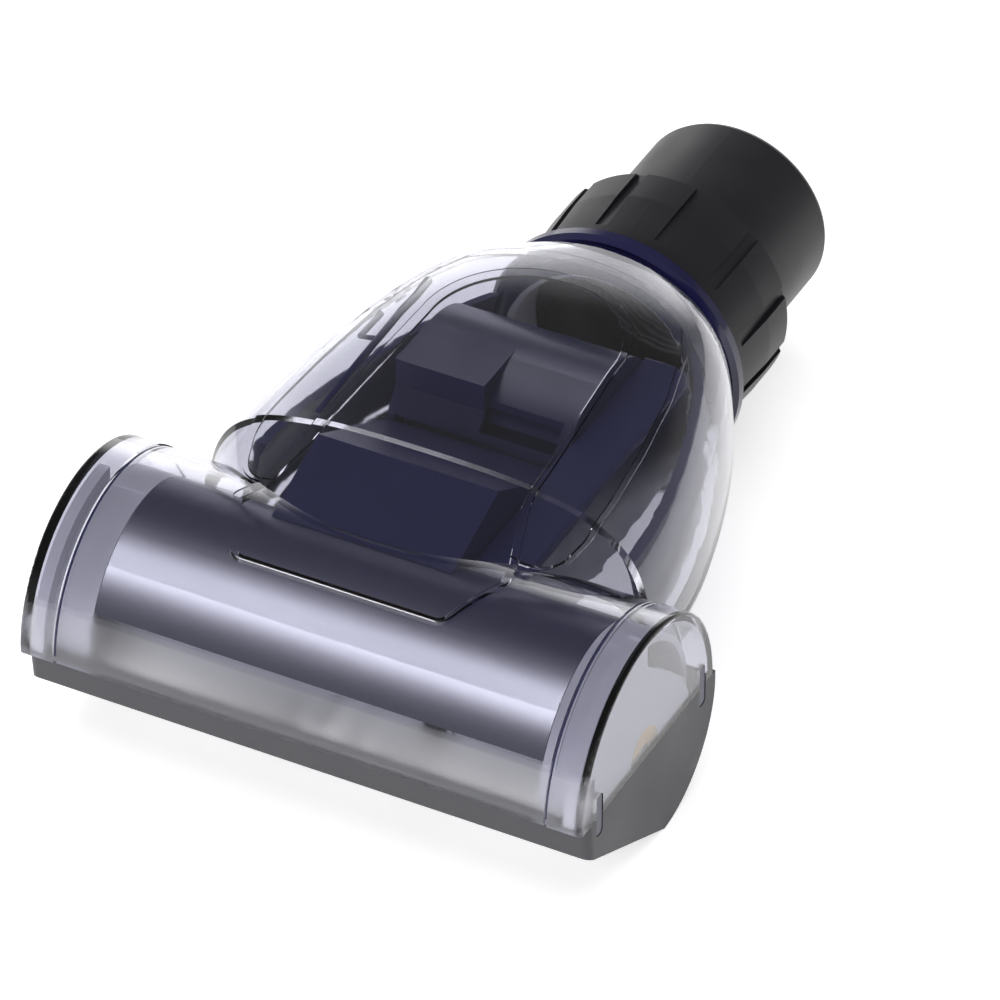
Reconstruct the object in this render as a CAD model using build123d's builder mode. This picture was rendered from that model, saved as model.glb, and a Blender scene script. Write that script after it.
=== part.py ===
from build123d import *
from math import cos, degrees, radians, sin, sqrt
import os

# Vacuum turbo brush: a small air-driven brush head with a clear cover.
# The frame stands on the floor: +X across the head, +Y from the head to the connector,
# +Z up, with the origin under the middle of the whole length. All sizes are millimetres.

# Whole brush
overall_length = 205.0      # front of the clear head to the mouth of the connector
head_width = 132.0
head_radius = 30.5          # outside of the clear cover's end rings
wall = 2.0                  # clear mouldings and the sole housing
thin_wall = 1.6             # navy inner mouldings
seat_gap = 0.15             # between mouldings that are assembled side by side
free_gap = 0.4              # round pieces that turn beside fixed ones
fixed_gap = 0.03            # round pieces that are fixed on each other
running_gap = 0.05          # radial clearance of a shaft in its bush

# Head
ring_width = 8.0            # raised ring at each end of the clear head
ring_rise = 0.25
ring_groove_width = 0.8     # fine groove between each ring and the barrel
ring_groove_depth = 0.5
end_rounding = 0.9
lip_inset = 3.0             # sole housing's front face behind the clear cover's front
lip_draft = 1.0             # the front face leans back by this down to the lip
sole_angle = 26.0           # the flat sole rises to the front by this many degrees
sole_low_back = 8.1         # lowest line of the sole, behind the head's axis
belly_bulge = 7.4           # how far the round rear underside stands out of its chord
rear_overhang = 0.6         # sole housing's rear edge behind the clear head's rear
corner_rounding = 2.0
tongue_rise = 1.2           # raised panel of the cover, over head and dome
panel_side = [              # its right edge: half width, distance from the front
    (25.0, 17.5),
    (32.5, 33.0),
    (26.5, 54.0),
    (23.5, 100.0),
]
panel_end = 124.5
panel_corner = 4.0
shoulder_rise = 0.5         # shallow step of the dome's top, outside the raised panel
shoulder_side = [
    (36.5, 41.0),
    (40.7, 55.0),
    (40.4, 66.0),
    (38.9, 82.0),
    (36.2, 100.0),
    (32.0, 116.0),
    (27.0, 126.0),
]
shoulder_end = 134.0
shoulder_corner = 12.0

# Dome: distance from the front, half width at the seam, height over the seam
crease_at = 58.0
dome_root = (27.0, 33.0, 29.0)
dome_stations = [
    (crease_at, 53.0, 36.2),
    (82.0, 51.6, 37.4),
    (106.0, 45.7, 38.8),
    (128.0, 37.5, 37.2),
]
dome_fullness = 0.85
neck_fullness = 0.60
flange_width = 4.0
flange_thickness = 2.0
hull_inset = 8.0            # lower shell's wall behind the dome's outline
hull_clearance = 4.0        # floor to the underside of the lower shell
hull_fullness = 0.80
hull_front = 40.0

# Connector, collar and neck, from the wand outwards
sleeve_bore = 17.5          # for a 35 mm wand
sleeve_wall = 3.0
sleeve_depth = 34.0
sleeve_lip = 1.6
tube_wall = 2.4
tube_flange_lip = 1.3
tube_flange_thickness = 3.0
tube_inset = 8.0            # tube's flange behind the ring's front face
rim_rounding = 1.4
liner_wall = 1.2            # light liner from the turbine's outlet to the tube
bearing_wall = 1.55         # sleeve of the navy ring, which the collar turns on
bearing_length = 15.0
collar_gap = 1.2
collar_length = 25.6
collar_wall = 2.8           # bearing to the top of the pads
collar_front_drop = 0.8     # front end of the pads under their rear end
collar_groove_depth = 1.2
collar_pads = 12
collar_groove_width = 3.0
collar_lip = 4.0
neck_at = 143.6             # front face of the navy ring, from the front of the head
ring_thickness = 3.8
ring_edge = 1.2
neck_step = 1.2             # spigot of the ring over its bearing
neck_wall = 2.4             # clear neck round the spigot
neck_spigot_depth = 6.0
neck_clearance = 1.4        # floor to the clear neck

# Brush roll and its drive
tunnel_gap = 3.5            # clear cover's ring to the navy tunnel, inside the wall
bristle_gap = 1.8
bristle_proud = 1.8         # bristles beyond the flat sole
tunnel_lip_angle = 24.0     # front edge of the tunnel over the seam, about the axis
tunnel_left_inset = 14.5    # tunnel's ends inside the ends of the head
tunnel_right_inset = 12.5
core_radius = 12.0
roll_inset = 10.0           # roll's ends inside the ends of the head
axle_radius = 2.0
tuft_pitch = 6.6
tuft_radius = 1.5
tuft_rows = 2
tuft_twist = 1.7            # degrees of helix per millimetre along the roll
tuft_phase = 8.0            # turn of the first row at the middle of the roll
bearing_outer = 6.0
end_plate_thickness = 2.6
end_plate_inset = 3.7       # end plate's middle inside the end of the head
belt_at = 23.5
belt_width = 5.0
belt_back = 1.3             # belt thickness without its ribs
belt_ribs = 3
rib_pitch = 1.6
rib_depth = 0.8
brush_pulley_radius = 11.4  # to the belt's inside between its ribs
drive_pulley_radius = 5.7
pulley_flange = 0.9
pulley_play = 0.3           # belt's edge to each flange
flange_rise = 0.5           # flange over the belt's back
belt_cover_rise = 21.0      # over the seam
belt_cover_rear = 13.0      # behind the drive pulley's radius
belt_cover_corner = 6.0
belt_cover_rim = 1.2

# Turbine
turbine_at = 108.0
turbine_rise = 6.02         # turbine's axis over the seam
turbine_left = 25.5
turbine_right = 17.0
turbine_housing_radius = 22.5
wheel_gap = 1.4
blade_count = 12
blade_thickness = 1.0
wheel_disc = 1.2
hub_radius = 5.0
shaft_radius = 2.0
block_front = 92.0
window_front = 89.0
window_back = 94.0
window_left = -4.0
duct_rise = 31.5            # duct roof over the seam at the dome's crease
duct_end_rise = 4.0         # where the falling roof meets the turbine's axis, over the seam
duct_floor = 12.0           # duct floor under the seam
duct_start_drop = 3.0       # roof's front edge under the top of the tunnel
foot_length = 14.0          # feet of the turbine housing in the lower shell
foot_inset = 8.0
guide_height = 18.0
guide_thickness = 1.8
guide_inset = 6.2

# Small parts
latch_width = 2.6
latch_height = 5.4
latch_foot = 5.0
latch_front = 8.3           # from the front of the head
latch_rear = 55.6
glide_places = (-0.894, -0.339, 0.133, 0.606)   # as shares of the half width
glide_radius = 2.0
screw_radius = 1.4
screw_head_radius = 2.6
screw_length = 15.0
screw_head_height = 1.8
boss_wall = 1.2
guard_pitch = 5             # tuft pitches between the two guard bars
guard_width = 1.2

# Places worked out from the sizes
front_y = -overall_length / 2
head_y = front_y + head_radius
neck_y = front_y + neck_at
turbine_y = front_y + turbine_at
tube_radius = sleeve_bore + sleeve_wall + tube_wall
tube_flange_radius = tube_radius + tube_flange_lip
bearing_radius = tube_flange_radius + running_gap + bearing_wall
collar_radius = bearing_radius + collar_wall
collar_front_radius = collar_radius - collar_front_drop
neck_bore = bearing_radius + neck_step
neck_radius = neck_bore + neck_wall
neck_height = neck_radius + neck_clearance
half_head = head_width / 2
mid_radius = head_radius - ring_rise
tunnel_radius = head_radius - wall - tunnel_gap
tunnel_inner = tunnel_radius - thin_wall
tunnel_left = half_head - tunnel_left_inset
tunnel_right = half_head - tunnel_right_inset
roll_half_length = half_head - roll_inset
end_plate_at = half_head - end_plate_inset
bristle_radius = tunnel_inner - bristle_gap

# Sole: a flat that the bristles pass, from the front lip down to the lowest line,
# which stands on the floor and so sets the height of the seam
sole_distance = bristle_radius - bristle_proud
sole_sin = sin(radians(sole_angle))
sole_cos = cos(radians(sole_angle))
parting_height = (sole_distance + sole_low_back * sole_sin) / sole_cos
turbine_height = parting_height + turbine_rise
pulley_half_length = belt_width / 2 + pulley_play + pulley_flange
low_y = head_y + sole_low_back
lip_y = front_y + lip_inset + lip_draft
lip_z = (low_y - lip_y) * sole_sin / sole_cos
sole_plane = Plane(
    origin=(0, head_y - sole_distance * sole_sin, parting_height - sole_distance * sole_cos),
    x_dir=(1, 0, 0),
    z_dir=(0, -sole_sin, -sole_cos),
)


def slab(x_range, y_range, z_range):
    """Block between two places on each axis."""
    with BuildPart() as block:
        with BuildSketch(Plane.XY.offset(z_range[0])):
            with Locations((sum(x_range) / 2, sum(y_range) / 2)):
                Rectangle(x_range[1] - x_range[0], y_range[1] - y_range[0])
        extrude(amount=z_range[1] - z_range[0])
    return block.part


def sole_body(inset, rise):
    """Sole housing's outline across the head, moved inwards, with its top raised."""
    half_length = half_head - inset
    with BuildPart() as body:
        with BuildSketch(Plane.YZ.offset(-half_length)):
            with BuildLine():
                front_seam = (front_y + lip_inset, parting_height)
                rear_seam = (head_y + head_radius + rear_overhang, parting_height)
                Line(front_seam, (lip_y, lip_z))
                Line((lip_y, lip_z), (low_y, 0))
                SagittaArc((low_y, 0), rear_seam, -belly_bulge)
                Line(rear_seam, front_seam)
            make_face()
            if rise:
                with Locations(((front_seam[0] + rear_seam[0]) / 2, parting_height + rise / 2)):
                    Rectangle(rear_seam[0] - front_seam[0], rise)
            if inset:
                offset(amount=-inset, kind=Kind.INTERSECTION)
        extrude(amount=2 * half_length)
    return body.part


def head_half(radius, half_length, rounding):
    """Half cylinder over the seam, with its two end arcs rounded."""
    with BuildPart() as half:
        with BuildSketch(Plane.YZ.offset(-half_length)):
            with BuildLine():
                arc = CenterArc((head_y, parting_height), radius, 0, 180)
                Line(arc @ 0, arc @ 1)
            make_face()
        extrude(amount=2 * half_length)
        if rounding:
            ends = half.edges().filter_by(GeomType.CIRCLE)
            fillet(ends, radius=rounding)
    return half.part


def arch(y, half_width, height, fullness, base=parting_height):
    """Flat-based arch in the cross plane at y; a negative height hangs under the seam."""
    with BuildSketch(Plane.XZ.offset(-y)) as section:
        with BuildLine():
            Line((-half_width, base), (half_width, base))
            Bezier(
                (half_width, base),
                (half_width, base + height * fullness),
                (half_width * fullness, base + height),
                (0, base + height),
            )
            Bezier(
                (0, base + height),
                (-half_width * fullness, base + height),
                (-half_width, base + height * fullness),
                (-half_width, base),
            )
        make_face()
    return section.sketch


def neck_station(inset):
    """Clear neck where it meets the navy ring: half width at the seam and height."""
    radius = neck_radius - inset
    side = sqrt(radius**2 - (neck_height - parting_height) ** 2)
    return side, neck_height + radius - parting_height


def dome_body(inset):
    """Dome over the seam: a sloping front up to the crease, then a loft to the neck."""
    front = [arch(front_y + dome_root[0], dome_root[1] - inset, dome_root[2] - inset, dome_fullness)]
    rear = []
    for at, half_width, height in dome_stations:
        rear.append(arch(front_y + at, half_width - inset, height - inset, dome_fullness))
    side, height = neck_station(inset)
    rear.append(arch(neck_y, side, height, neck_fullness))
    with BuildPart() as body:
        loft(sections=[front[0], rear[0]], ruled=True)
        loft(sections=rear)
    return body.part


def hull_body(inset):
    """Lower shell's hull under the seam, narrower than the dome all round."""
    depth = parting_height - hull_clearance - inset
    sections = []
    first_width = dome_stations[0][1] - hull_inset - inset
    sections.append(arch(front_y + hull_front, first_width, -depth, hull_fullness))
    for at, half_width, height in dome_stations[1:]:
        sections.append(arch(front_y + at, half_width - hull_inset - inset, -depth, hull_fullness))
    side, height = neck_station(inset)
    neck_depth = parting_height - (neck_height - neck_radius + inset)
    sections.append(arch(neck_y, side, -neck_depth, neck_fullness))
    with BuildPart() as body:
        loft(sections=sections)
    return body.part


def plan_prism(side, corner, rear_at, inset):
    """Upright prism over a plan outline: its right edge from front to rear, and a round end."""
    right = [(x, front_y + at) for x, at in side]
    left = [(-x, y) for x, y in reversed(right)]
    with BuildPart() as prism:
        with BuildSketch(Plane.XY.offset(parting_height + inset)) as plan:
            with BuildLine():
                Polyline(*left, *right)
                ThreePointArc(right[-1], (0, front_y + rear_at), left[0])
            make_face()
            fillet(plan.vertices().sort_by(Axis.Y)[:-2], radius=corner)
            if inset:
                offset(amount=-inset)
        extrude(amount=head_radius + dome_stations[0][2])
    return prism.part


def head_solid(inset):
    """Filled head: a barrel between two slightly larger end rings."""
    rounding = end_rounding if inset == 0 else 0
    rings = head_half(head_radius - inset, half_head - inset, rounding)
    between = head_half(head_radius + ring_rise, half_head - ring_width, 0)
    groove_floor = head_half(mid_radius - ring_groove_depth, half_head - ring_width, 0)
    barrel_length = half_head - ring_width - ring_groove_width
    barrel = head_half(mid_radius - inset, barrel_length, 0)
    with BuildPart() as head:
        add(rings)
        add(between, mode=Mode.SUBTRACT)
        if inset == 0:
            add(groove_floor)
        add(barrel)
        if inset:
            add(head_half(mid_radius - inset, half_head - ring_width, 0))
    return head.part


def cover_solid(inset):
    """Filled shape of the clear cover: head, dome, its stepped top and the raised panel."""
    tongue = head_half(mid_radius + tongue_rise - inset, half_head - ring_width - inset, 0)
    with BuildPart() as panel:
        add(tongue)
        add(dome_body(inset - tongue_rise))
        add(plan_prism(panel_side, panel_corner, panel_end, inset), mode=Mode.INTERSECT)
    with BuildPart() as shoulder:
        add(dome_body(inset - shoulder_rise))
        add(plan_prism(shoulder_side, shoulder_corner, shoulder_end, inset), mode=Mode.INTERSECT)
    with BuildPart() as solid:
        add(head_solid(inset))
        add(dome_body(inset))
        add(shoulder.part)
        add(panel.part)
    return solid.part


def tube_about_neck(profile):
    """Turned piece about the neck's axis from (distance behind the front, radius) points."""
    with BuildPart() as turned:
        with BuildSketch(Plane.YZ):
            with BuildLine():
                points = [(front_y + at, neck_height + radius) for at, radius in profile]
                Polyline(*points, close=True)
            make_face()
        revolve(axis=Axis((0, 0, neck_height), (0, 1, 0)))
    return turned.part


def disc_across(y, z, radius, x_range):
    """Round bar that lies across the head."""
    with BuildPart() as bar:
        with BuildSketch(Plane.YZ.offset(x_range[0])):
            with Locations((y, z)):
                Circle(radius)
        extrude(amount=x_range[1] - x_range[0])
    return bar.part


def upright(x, y, radius, z_range):
    """Round post."""
    with BuildPart() as post:
        with BuildSketch(Plane.XY.offset(z_range[0])):
            with Locations((x, y)):
                Circle(radius)
        extrude(amount=z_range[1] - z_range[0])
    return post.part


# Shared bodies that several pieces are cut by
far = overall_length
hull_outer = hull_body(0)
hull_inner = hull_body(wall)
spigot_bore = tube_about_neck([
    (neck_at - neck_spigot_depth - 1, 0),
    (neck_at + 1, 0),
    (neck_at + 1, neck_bore + seat_gap),
    (neck_at - neck_spigot_depth - 1, neck_bore + seat_gap),
])
duct_x = (-turbine_left, turbine_right)
duct_clear_x = (-turbine_left + thin_wall, turbine_right - thin_wall)
belt_x = (belt_at - belt_width / 2 - thin_wall, belt_at + belt_width / 2 + thin_wall)
latch_places = []
for side in (-1, 1):
    for at in (latch_front, latch_rear):
        latch_places.append((side, front_y + at))


def latch_box(side, y, gap):
    """Latch tab in an end wall, or with a gap the slot that it stands in."""
    outer = half_head - seat_gap + (1 if gap else 0)
    inner = half_head - wall - gap
    x_range = (inner, outer) if side > 0 else (-outer, -inner)
    with BuildPart() as tab:
        with BuildSketch(Plane.YZ.offset(x_range[0])):
            with Locations((y, parting_height + (latch_height - latch_foot) / 2)):
                RectangleRounded(
                    latch_width + 2 * gap,
                    latch_height + latch_foot + 2 * gap,
                    latch_width / 2 - 0.1,
                )
        extrude(amount=x_range[1] - x_range[0])
    return tab.part


def duct_profile(inset, x_range):
    """Air duct from the brush tunnel to the turbine, as a filled body across x_range."""
    with BuildPart() as body:
        with BuildSketch(Plane.YZ.offset(x_range[0])):
            crease = (front_y + crease_at, parting_height + duct_rise)
            top_front = (head_y, parting_height + tunnel_radius - duct_start_drop)
            top_rear = (turbine_y, parting_height + duct_end_rise)
            floor_z = parting_height - duct_floor
            with BuildLine():
                Polyline(
                    top_front,
                    crease,
                    top_rear,
                    (turbine_y, floor_z),
                    (head_y, floor_z),
                    close=True,
                )
            make_face()
            if inset:
                offset(amount=-inset, kind=Kind.INTERSECTION)
        extrude(amount=x_range[1] - x_range[0])
    return body.part


duct_room = duct_profile(thin_wall, duct_clear_x)

# Sole housing: open tray under the whole head, its flat sole cut by the suction mouth
mouth_half = sqrt(bristle_radius**2 - (sole_distance - wall) ** 2) + bristle_gap
mouth_length = 2 * (roll_half_length + 1.0)
rear_notch = slab(
    (duct_x[0] - seat_gap, belt_x[1] + seat_gap),
    (head_y + tunnel_radius / 2, head_y + 2 * head_radius),
    (parting_height - duct_floor - seat_gap, parting_height + 1),
)
boss_radius = screw_head_radius + boss_wall
head_screw_x = half_head - wall - boss_radius - 1.2
head_screw_y = head_y + tunnel_inner - thin_wall
head_screw_seat = 13.0
shell_screw_x = 20.0
shell_screw_y = neck_y - neck_spigot_depth - boss_radius - 0.7
shell_boss_top = parting_height - 4.0
shell_screw_seat = hull_clearance + 3.5

sole_outer = sole_body(0, 0)
sole_room = sole_body(wall, wall + 1)
with BuildPart() as head_bosses:
    for side in (-1, 1):
        boss = upright(
            side * head_screw_x, head_screw_y, boss_radius, (0, parting_height - seat_gap)
        )
        add(boss)
    add(sole_outer, mode=Mode.INTERSECT)
with BuildPart() as sole_housing:
    add(sole_outer)
    front_corners = sole_housing.edges().filter_by(
        lambda e: abs(e.center().X) > half_head - 0.1 and e.center().Y < lip_y
    )
    fillet(front_corners, radius=corner_rounding)
    add(sole_room, mode=Mode.SUBTRACT)
    with BuildSketch(sole_plane) as mouth:
        Rectangle(mouth_length, 2 * mouth_half)
    extrude(amount=2 * wall, both=True, mode=Mode.SUBTRACT)
    with BuildSketch(sole_plane.offset(-wall)) as guards:
        with GridLocations(guard_pitch * tuft_pitch, 0, 2, 1):
            Rectangle(guard_width, 2 * mouth_half + 1.0)
    extrude(amount=wall)
    add(rear_notch, mode=Mode.SUBTRACT)
    add(head_bosses.part)
    for side in (-1, 1):
        with Locations((side * head_screw_x, head_screw_y, 0)):
            Cylinder(
                screw_head_radius + 0.2,
                head_screw_seat,
                align=(Align.CENTER, Align.CENTER, Align.MIN),
                mode=Mode.SUBTRACT,
            )
            Cylinder(
                screw_radius + seat_gap,
                parting_height + 1,
                align=(Align.CENTER, Align.CENTER, Align.MIN),
                mode=Mode.SUBTRACT,
            )
    for side, y in latch_places:
        add(latch_box(side, y, seat_gap), mode=Mode.SUBTRACT)
    for share in glide_places:
        with BuildSketch(Plane.YZ.offset(share * half_head - glide_radius)) as glide:
            with Locations((lip_y + glide_radius, lip_z)):
                Circle(glide_radius / 2)
        extrude(amount=2 * glide_radius)
sole_housing.part.label = "sole_housing"

# Clear cover: head, dome and raised panel in one moulding, with an inward flange at the seam
seam_top = parting_height + flange_thickness
cover_outer = cover_solid(0)
cover_room = cover_solid(wall)
head_room = head_solid(wall)
dome_throat = dome_body(flange_width)
flange_slab = slab((-far, far), (-far, far), (parting_height - 1, seam_top))
with BuildPart() as upper_room:
    add(cover_room)
    add(flange_slab, mode=Mode.SUBTRACT)
with BuildPart() as lower_room:
    add(head_room)
    add(dome_throat)
    add(flange_slab, mode=Mode.INTERSECT)
with BuildPart() as clear_cover:
    add(cover_outer)
    add(upper_room.part, mode=Mode.SUBTRACT)
    add(lower_room.part, mode=Mode.SUBTRACT)
    add(spigot_bore, mode=Mode.SUBTRACT)
    for side, y in latch_places:
        add(latch_box(side, y, seat_gap), mode=Mode.SUBTRACT)
clear_cover.part.label = "clear_cover"

# Clear lower shell: hull under the dome, with a flange that carries the cover
shell_flange = dome_body(0.5)
shell_flange_slab = slab(
    (-far, far), (-far, neck_y), (parting_height, parting_height + flange_thickness)
)
sole_cutter = sole_body(-seat_gap, 1)
with BuildPart() as flange_plate:
    add(shell_flange)
    add(shell_flange_slab, mode=Mode.INTERSECT)
flange_low = flange_plate.part.moved(Location((0, 0, -flange_thickness)))
with BuildPart() as shell_bosses:
    for side in (-1, 1):
        boss = upright(side * shell_screw_x, shell_screw_y, boss_radius, (0, shell_boss_top))
        add(boss)
    add(hull_outer, mode=Mode.INTERSECT)
with BuildPart() as lower_shell:
    add(hull_outer)
    add(flange_low)
    add(hull_inner, mode=Mode.SUBTRACT)
    add(shell_bosses.part)
    for side in (-1, 1):
        with Locations((side * shell_screw_x, shell_screw_y, 0)):
            Cylinder(
                screw_head_radius + 0.2,
                shell_screw_seat,
                align=(Align.CENTER, Align.CENTER, Align.MIN),
                mode=Mode.SUBTRACT,
            )
            Cylinder(
                screw_radius + seat_gap,
                parting_height + 1,
                align=(Align.CENTER, Align.CENTER, Align.MIN),
                mode=Mode.SUBTRACT,
            )
    add(sole_cutter, mode=Mode.SUBTRACT)
    add(spigot_bore, mode=Mode.SUBTRACT)
lower_shell.part.label = "lower_shell"

# Brush tunnel: navy half shell round the top of the brush roll
tunnel_bar = disc_across(head_y, parting_height, tunnel_radius, (-tunnel_left, tunnel_right))
tunnel_bore = disc_across(head_y, parting_height, tunnel_inner, (-tunnel_left - 1, tunnel_right + 1))
tunnel_lip_z = parting_height + tunnel_radius * sin(radians(tunnel_lip_angle))
belt_slot = slab(
    belt_x,
    (head_y + core_radius, head_y + 2 * head_radius),
    (parting_height, parting_height + brush_pulley_radius + belt_back + thin_wall),
)
with BuildPart() as brush_tunnel:
    add(tunnel_bar)
    add(tunnel_bore, mode=Mode.SUBTRACT)
    add(slab((-far, far), (-far, far), (-far, parting_height + seat_gap)), mode=Mode.SUBTRACT)
    add(slab((-far, far), (-far, head_y), (-far, tunnel_lip_z)), mode=Mode.SUBTRACT)
    add(duct_room, mode=Mode.SUBTRACT)
    add(belt_slot, mode=Mode.SUBTRACT)
brush_tunnel.part.label = "brush_tunnel"

# Air duct: sloping channel from the tunnel's rear opening to the turbine's inlet
housing_cutter = disc_across(
    turbine_y, turbine_height, turbine_housing_radius + seat_gap, (-far, far)
)
tunnel_cutter = disc_across(head_y, parting_height, tunnel_radius + seat_gap, (-far, far))
with BuildPart() as air_duct:
    add(duct_profile(0, duct_x))
    add(duct_room, mode=Mode.SUBTRACT)
    add(tunnel_cutter, mode=Mode.SUBTRACT)
    add(housing_cutter, mode=Mode.SUBTRACT)
air_duct.part.label = "air_duct"

# Turbine housing: drum with a squared inlet block on its left and a window on its right
drum_inner = turbine_housing_radius - thin_wall
drum_top = turbine_height + turbine_housing_radius
block_x = (-turbine_left, window_left - seat_gap)
inlet = slab(
    duct_clear_x, (turbine_y - 2 * drum_inner, turbine_y),
    (parting_height - duct_floor + thin_wall, turbine_height + drum_inner / 2),
)
outlet = slab(
    duct_clear_x, (turbine_y, turbine_y + 2 * drum_inner),
    (turbine_height - drum_inner * 0.75, turbine_height + drum_inner * 0.6),
)
window = slab(
    (window_left, turbine_right - 2 * thin_wall),
    (front_y + window_front, front_y + window_back),
    (turbine_height + drum_inner / 2, drum_top + 1),
)
block = slab(block_x, (front_y + block_front, turbine_y), (turbine_height, drum_top))
block_room = slab(
    (block_x[0] + thin_wall, block_x[1] - thin_wall),
    (front_y + block_front + thin_wall, turbine_y),
    (turbine_height, drum_top - thin_wall),
)
foot_room = hull_body(wall + seat_gap)
with BuildPart() as housing_feet:
    for x in (-turbine_left + foot_inset, turbine_right - foot_inset):
        foot = slab(
            (x - wall / 2, x + wall / 2),
            (turbine_y - foot_length / 2, turbine_y + foot_length / 2),
            (0, turbine_height),
        )
        add(foot)
    add(foot_room, mode=Mode.INTERSECT)
turbine_bush_radius = 2 * shaft_radius
shell_wall = hull_outer - foot_room
with BuildPart() as turbine_housing:
    add(disc_across(turbine_y, turbine_height, turbine_housing_radius, duct_x))
    add(block)
    add(housing_feet.part)
    add(disc_across(turbine_y, turbine_height, drum_inner, duct_clear_x), mode=Mode.SUBTRACT)
    add(block_room, mode=Mode.SUBTRACT)
    add(inlet, mode=Mode.SUBTRACT)
    add(outlet, mode=Mode.SUBTRACT)
    add(window, mode=Mode.SUBTRACT)
    add(shell_wall, mode=Mode.SUBTRACT)
    add(
        disc_across(turbine_y, turbine_height, turbine_bush_radius + fixed_gap, (-far, far)),
        mode=Mode.SUBTRACT,
    )
turbine_housing.part.label = "turbine_housing"

# Turbine wheel: hub, two side discs and curved blades that catch the air
wheel_radius = drum_inner - wheel_gap
wheel_x = (duct_clear_x[0] + 1.0, duct_clear_x[1] - 1.0)


def wheel_point(radius, angle):
    """Point of the wheel's cross plane by radius and angle about its axis."""
    return (
        turbine_y + radius * cos(radians(angle)),
        turbine_height + radius * sin(radians(angle)),
    )


with BuildPart() as turbine_wheel:
    with BuildSketch(Plane.YZ.offset(wheel_x[0])) as hub:
        with Locations((turbine_y, turbine_height)):
            Circle(hub_radius)
    extrude(amount=wheel_x[1] - wheel_x[0])
    for x in (wheel_x[0], wheel_x[1] - wheel_disc):
        with BuildSketch(Plane.YZ.offset(x)) as disc:
            with Locations((turbine_y, turbine_height)):
                Circle(wheel_radius)
        extrude(amount=wheel_disc)
    lag = degrees(blade_thickness / wheel_radius)
    with BuildSketch(Plane.YZ.offset(wheel_x[0])) as blades:
        for index in range(blade_count):
            turn = index * 360 / blade_count
            with BuildLine():
                face = ThreePointArc(
                    wheel_point(hub_radius - 0.3, turn),
                    wheel_point(wheel_radius * 0.65, turn + 15),
                    wheel_point(wheel_radius - 0.4, turn + 48),
                )
                back = ThreePointArc(
                    wheel_point(hub_radius - 0.3, turn + 3 * lag),
                    wheel_point(wheel_radius * 0.65, turn + 15 + 1.6 * lag),
                    wheel_point(wheel_radius - 0.4, turn + 48 + lag),
                )
                Line(face @ 0, back @ 0)
                Line(face @ 1, back @ 1)
            make_face()
    extrude(amount=wheel_x[1] - wheel_x[0])
    add(
        disc_across(turbine_y, turbine_height, shaft_radius + fixed_gap, (-far, far)),
        mode=Mode.SUBTRACT,
    )
turbine_wheel.part.label = "turbine_wheel"

# Turbine shaft and its two bushes
bush_length = 3.0
shaft_end = belt_at + pulley_half_length
left_bush_x = (-turbine_left - 1.2, -turbine_left - 1.2 + bush_length)
right_bush_x = (turbine_right + 1.2 - bush_length, turbine_right + 1.2)
turbine_shaft_part = disc_across(
    turbine_y, turbine_height, shaft_radius, (left_bush_x[0] - 0.5, shaft_end)
)
turbine_shaft_part.label = "turbine_shaft"


def bush(y, z, outer, bore, x_range):
    """Plain bush across the head."""
    with BuildPart() as ring:
        with BuildSketch(Plane.YZ.offset(x_range[0])):
            with Locations((y, z)):
                Circle(outer)
                Circle(bore, mode=Mode.SUBTRACT)
        extrude(amount=x_range[1] - x_range[0])
    return ring.part


shaft_bore = shaft_radius + running_gap
turbine_bush_left = bush(turbine_y, turbine_height, turbine_bush_radius, shaft_bore, left_bush_x)
turbine_bush_right = bush(turbine_y, turbine_height, turbine_bush_radius, shaft_bore, right_bush_x)
turbine_bush_left.label = "turbine_bush_left"
turbine_bush_right.label = "turbine_bush_right"

# Ribbed belt: a loop round both pulleys, with ribs along it that sit between the pulleys' ribs
belt_start = belt_at - belt_width / 2
rib_start = belt_at - belt_ribs * rib_pitch / 2


def belt_loop(x, sink):
    """Face inside the belt's loop at x, its radius on both pulleys reduced by sink."""
    with BuildSketch(Plane.YZ.offset(x)) as loop:
        with BuildLine():
            CenterArc((head_y, parting_height), brush_pulley_radius - sink, 0, 360)
            CenterArc((turbine_y, turbine_height), drive_pulley_radius - sink, 0, 360)
        make_hull()
    return loop.sketch


belt_inside = [belt_loop(belt_start - seat_gap, 0), belt_loop(rib_start, 0)]
for step in range(1, 2 * belt_ribs + 1):
    sink = rib_depth if step % 2 else 0
    belt_inside.append(belt_loop(rib_start + step * rib_pitch / 2, sink))
belt_inside.append(belt_loop(belt_start + belt_width + seat_gap, 0))
with BuildPart() as drive_belt:
    extrude(belt_loop(belt_start, -belt_back), amount=belt_width)
    loft(sections=belt_inside, ruled=True, mode=Mode.SUBTRACT)
drive_belt.part.label = "drive_belt"


def ribbed_pulley(y, z, radius, bore):
    """Turned pulley with ribs that sit between the belt's ribs and a flange on each side."""
    half_face = belt_width / 2 + pulley_play
    half_length = half_face + pulley_flange
    flange_radius = radius + belt_back + flange_rise
    rib_edge = belt_ribs * rib_pitch / 2
    points = [
        (-half_length, bore),
        (-half_length, flange_radius),
        (-half_face, flange_radius),
        (-half_face, radius - running_gap),
    ]
    for step in range(2 * belt_ribs + 1):
        sink = rib_depth if step % 2 else 0
        points.append((step * rib_pitch / 2 - rib_edge, radius - running_gap - sink))
    points += [
        (half_face, radius - running_gap),
        (half_face, flange_radius),
        (half_length, flange_radius),
        (half_length, bore),
    ]
    with BuildPart() as pulley:
        with BuildSketch(Plane(origin=(belt_at, y, z), x_dir=(1, 0, 0), z_dir=(0, -1, 0))):
            with BuildLine():
                Polyline(*points, close=True)
            make_face()
        revolve(axis=Axis((0, y, z), (1, 0, 0)))
    return pulley.part


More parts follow.
